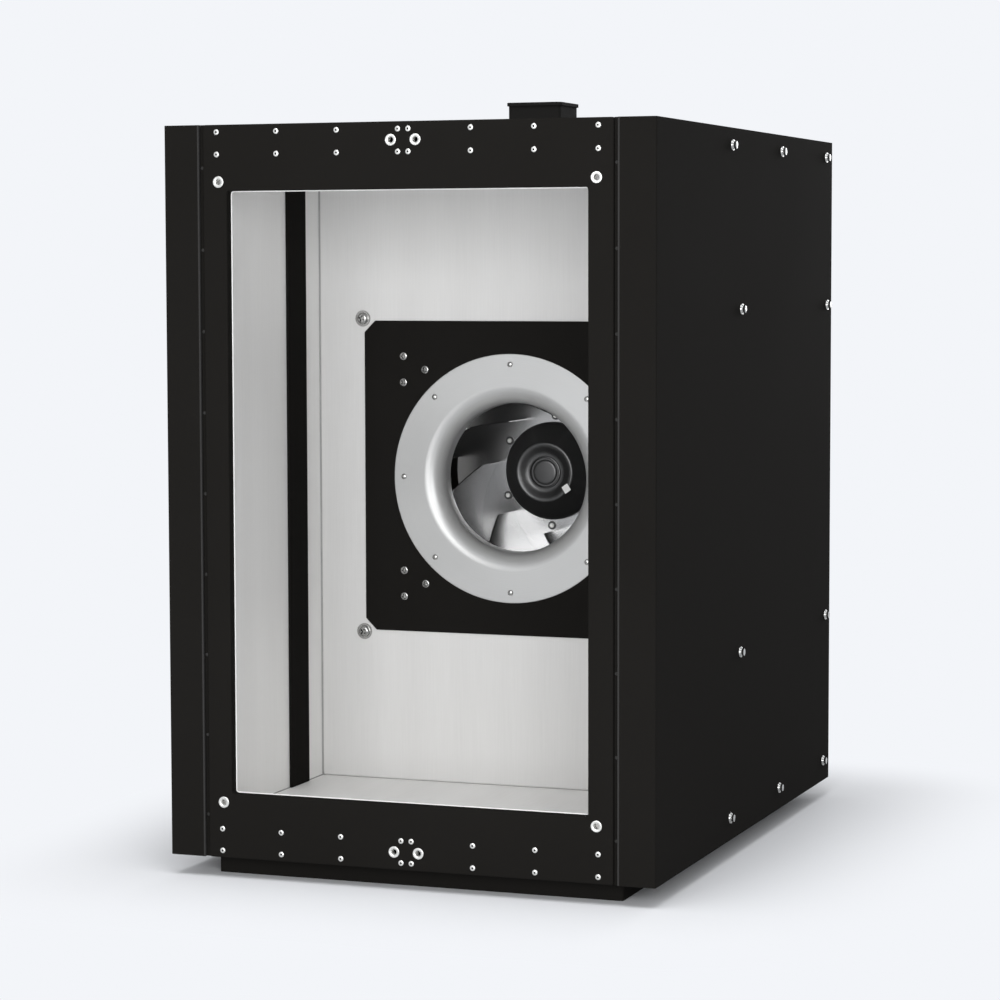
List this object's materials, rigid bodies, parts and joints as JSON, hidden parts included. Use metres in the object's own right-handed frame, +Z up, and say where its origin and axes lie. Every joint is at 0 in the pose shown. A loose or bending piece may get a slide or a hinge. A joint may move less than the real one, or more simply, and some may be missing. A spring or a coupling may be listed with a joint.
{
  "type": "air handling unit fan section",
  "caption": "Insulated black casing open at both ends on a plinth, with a bulkhead, inlet ring and a backward curved plug fan inside, and a terminal box on the roof.",
  "frame": {"origin": "on the floor, under the middle of the casing", "axes": "+X to the right seen from the air inlet, +Y along the air flow from inlet to outlet, +Z up"},
  "size_m": [0.713, 0.9244, 1.078],
  "materials": {
    "black_powder_coat": "satin black powder coat",
    "zinc_liner": "matte zinc coated sheet",
    "galvanised_ring": "spun galvanised sheet",
    "zinc_hardware": "bright zinc plate",
    "impeller_aluminium": "mill finish",
    "motor_black": "semi-gloss black coating",
    "motor_casting": "as cast",
    "galvanised_steel": "galvanised",
    "black_plastic": "fine moulded texture"
  },
  "bodies": {
    "casing": {"plinth": "black_powder_coat", "floor_panel": "black_powder_coat", "roof_panel": "black_powder_coat", "left_panel": "black_powder_coat", "right_panel": "black_powder_coat", "front_frame": "black_powder_coat", "back_frame": "black_powder_coat", "left_post": "black_powder_coat", "right_post": "black_powder_coat", "fan_plate": "black_powder_coat", "floor_liner": "zinc_liner", "roof_liner": "zinc_liner", "left_liner": "zinc_liner", "right_liner": "zinc_liner", "bulkhead": "zinc_liner", "inlet_ring": "galvanised_ring", "front_corner_nuts": "zinc_hardware", "front_centre_nuts": "zinc_hardware", "back_corner_nuts": "zinc_hardware", "back_centre_nuts": "zinc_hardware", "left_panel_screws": "zinc_hardware", "right_panel_screws": "zinc_hardware", "motor_housing": "motor_casting", "motor_carrier": "galvanised_steel", "lower_left_strut": "galvanised_steel", "lower_right_strut": "galvanised_steel", "upper_left_strut": "galvanised_steel", "upper_right_strut": "galvanised_steel", "terminal_box": "black_plastic", "terminal_box_lid": "black_plastic"},
    "impeller": {"impeller_shroud": "impeller_aluminium", "impeller_back_plate": "impeller_aluminium", "blade_1": "impeller_aluminium", "blade_2": "impeller_aluminium", "blade_3": "impeller_aluminium", "blade_4": "impeller_aluminium", "blade_5": "impeller_aluminium", "blade_6": "impeller_aluminium", "blade_7": "impeller_aluminium", "rotor": "motor_black", "rotor_cap": "motor_black"}
  },
  "joints": [
    {"name": "impeller_spin", "type": "hinge", "parent": "casing", "child": "impeller", "pos_m": [0, 0.142, 0.528], "axis": [0, 1, 0], "continuous": true}
  ]
}
